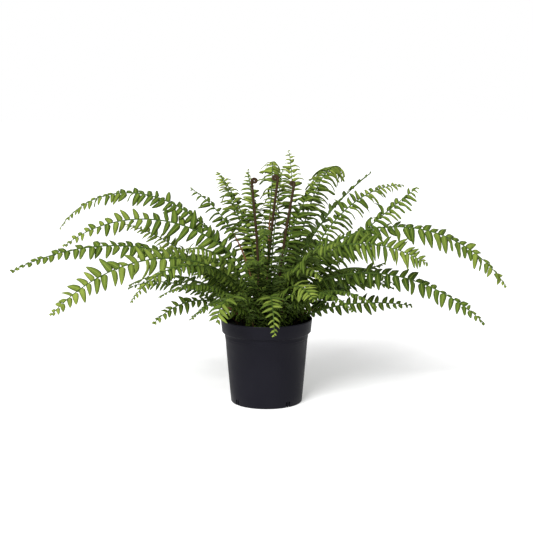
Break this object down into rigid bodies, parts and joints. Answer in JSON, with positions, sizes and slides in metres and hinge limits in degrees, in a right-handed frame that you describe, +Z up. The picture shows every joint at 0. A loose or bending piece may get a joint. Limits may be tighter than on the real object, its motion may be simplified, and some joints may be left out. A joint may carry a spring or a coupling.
{
  "type": "potted fern",
  "caption": "Sword fern with long arching feathery fronds and a few rolled fiddleheads, growing from dark soil in a plain round nursery pot.",
  "frame": {"origin": "centre of the pot's flat underside, on the surface that it stands on", "axes": "+Z up out of the pot, +X to the right along the plant's widest spread, -Y towards the viewer of the reference picture"},
  "size_m": [0.7928, 0.5356, 0.3997],
  "materials": {
    "pot": "satin",
    "soil": "matte",
    "fiddlehead": "matte",
    "frond": "satin"
  },
  "bodies": {
    "root": {"pot": "pot", "soil": "soil", "fiddlehead_1": "fiddlehead", "fiddlehead_2": "fiddlehead", "fiddlehead_3": "fiddlehead", "frond_01": "frond", "frond_02": "frond", "frond_03": "frond", "frond_04": "frond", "frond_05": "frond", "frond_06": "frond", "frond_07": "frond", "frond_08": "frond", "frond_09": "frond", "frond_10": "frond", "frond_11": "frond", "frond_12": "frond", "frond_13": "frond", "frond_14": "frond", "frond_15": "frond", "frond_16": "frond", "frond_17": "frond", "frond_18": "frond", "frond_19": "frond", "frond_20": "frond", "frond_21": "frond", "frond_22": "frond", "frond_23": "frond", "frond_24": "frond", "frond_25": "frond", "frond_26": "frond", "frond_27": "frond", "frond_28": "frond", "frond_29": "frond", "frond_30": "frond", "frond_31": "frond", "frond_32": "frond", "frond_33": "frond", "frond_34": "frond", "frond_35": "frond", "frond_36": "frond", "frond_37": "frond", "frond_38": "frond", "frond_39": "frond", "frond_40": "frond", "frond_41": "frond", "frond_42": "frond", "frond_43": "frond", "frond_44": "frond", "frond_45": "frond", "frond_46": "frond", "frond_47": "frond", "frond_48": "frond", "frond_49": "frond", "frond_50": "frond", "frond_51": "frond", "frond_52": "frond", "frond_53": "frond", "frond_54": "frond", "frond_55": "frond"}
  },
  "joints": []
}
